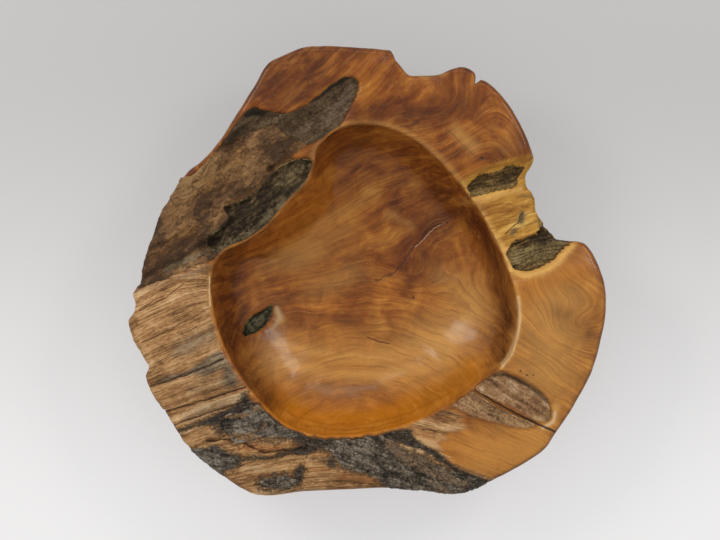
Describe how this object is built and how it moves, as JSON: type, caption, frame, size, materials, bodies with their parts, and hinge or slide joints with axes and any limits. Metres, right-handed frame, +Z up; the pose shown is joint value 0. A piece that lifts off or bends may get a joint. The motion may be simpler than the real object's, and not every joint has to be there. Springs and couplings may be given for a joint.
{
  "type": "live edge wooden bowl",
  "caption": "Carved root-wood bowl with a broad polished live-edge rim, plates of natural bark set in the rim, and a deep rounded basin on a flat base.",
  "frame": {"origin": "middle of the overall outline in plan, on the flat base", "axes": "+Z up out of the basin, +X along the longest side of the rim, +Y towards the notched side of the rim"},
  "size_m": [0.45, 0.424, 0.102],
  "materials": {
    "polished_wood": "oiled and polished root wood",
    "bark_brown": "flaky brown bark, sealed",
    "bark_grey": "smooth grey-olive bark, sealed",
    "bark_dark": "dark fibrous bark, sealed",
    "bark_black": "black granular bark crust, sealed"
  },
  "bodies": {
    "root": {"wood_body": "polished_wood", "bark_crust_upper_left": "bark_brown", "bark_fold_upper_left": "bark_grey", "bark_pocket_upper_left": "bark_dark", "bark_inset_right_upper": "bark_dark", "bark_inset_right_lower": "bark_dark", "bark_strip_lower_right_outer": "bark_brown", "bark_strip_lower_right_inner": "bark_brown", "bark_crust_bottom": "bark_black", "bark_crust_lower_left": "bark_black", "bark_plate_left_edge": "bark_black", "bark_plate_bottom_left": "bark_black", "bark_knot_basin": "bark_dark"}
  },
  "joints": []
}
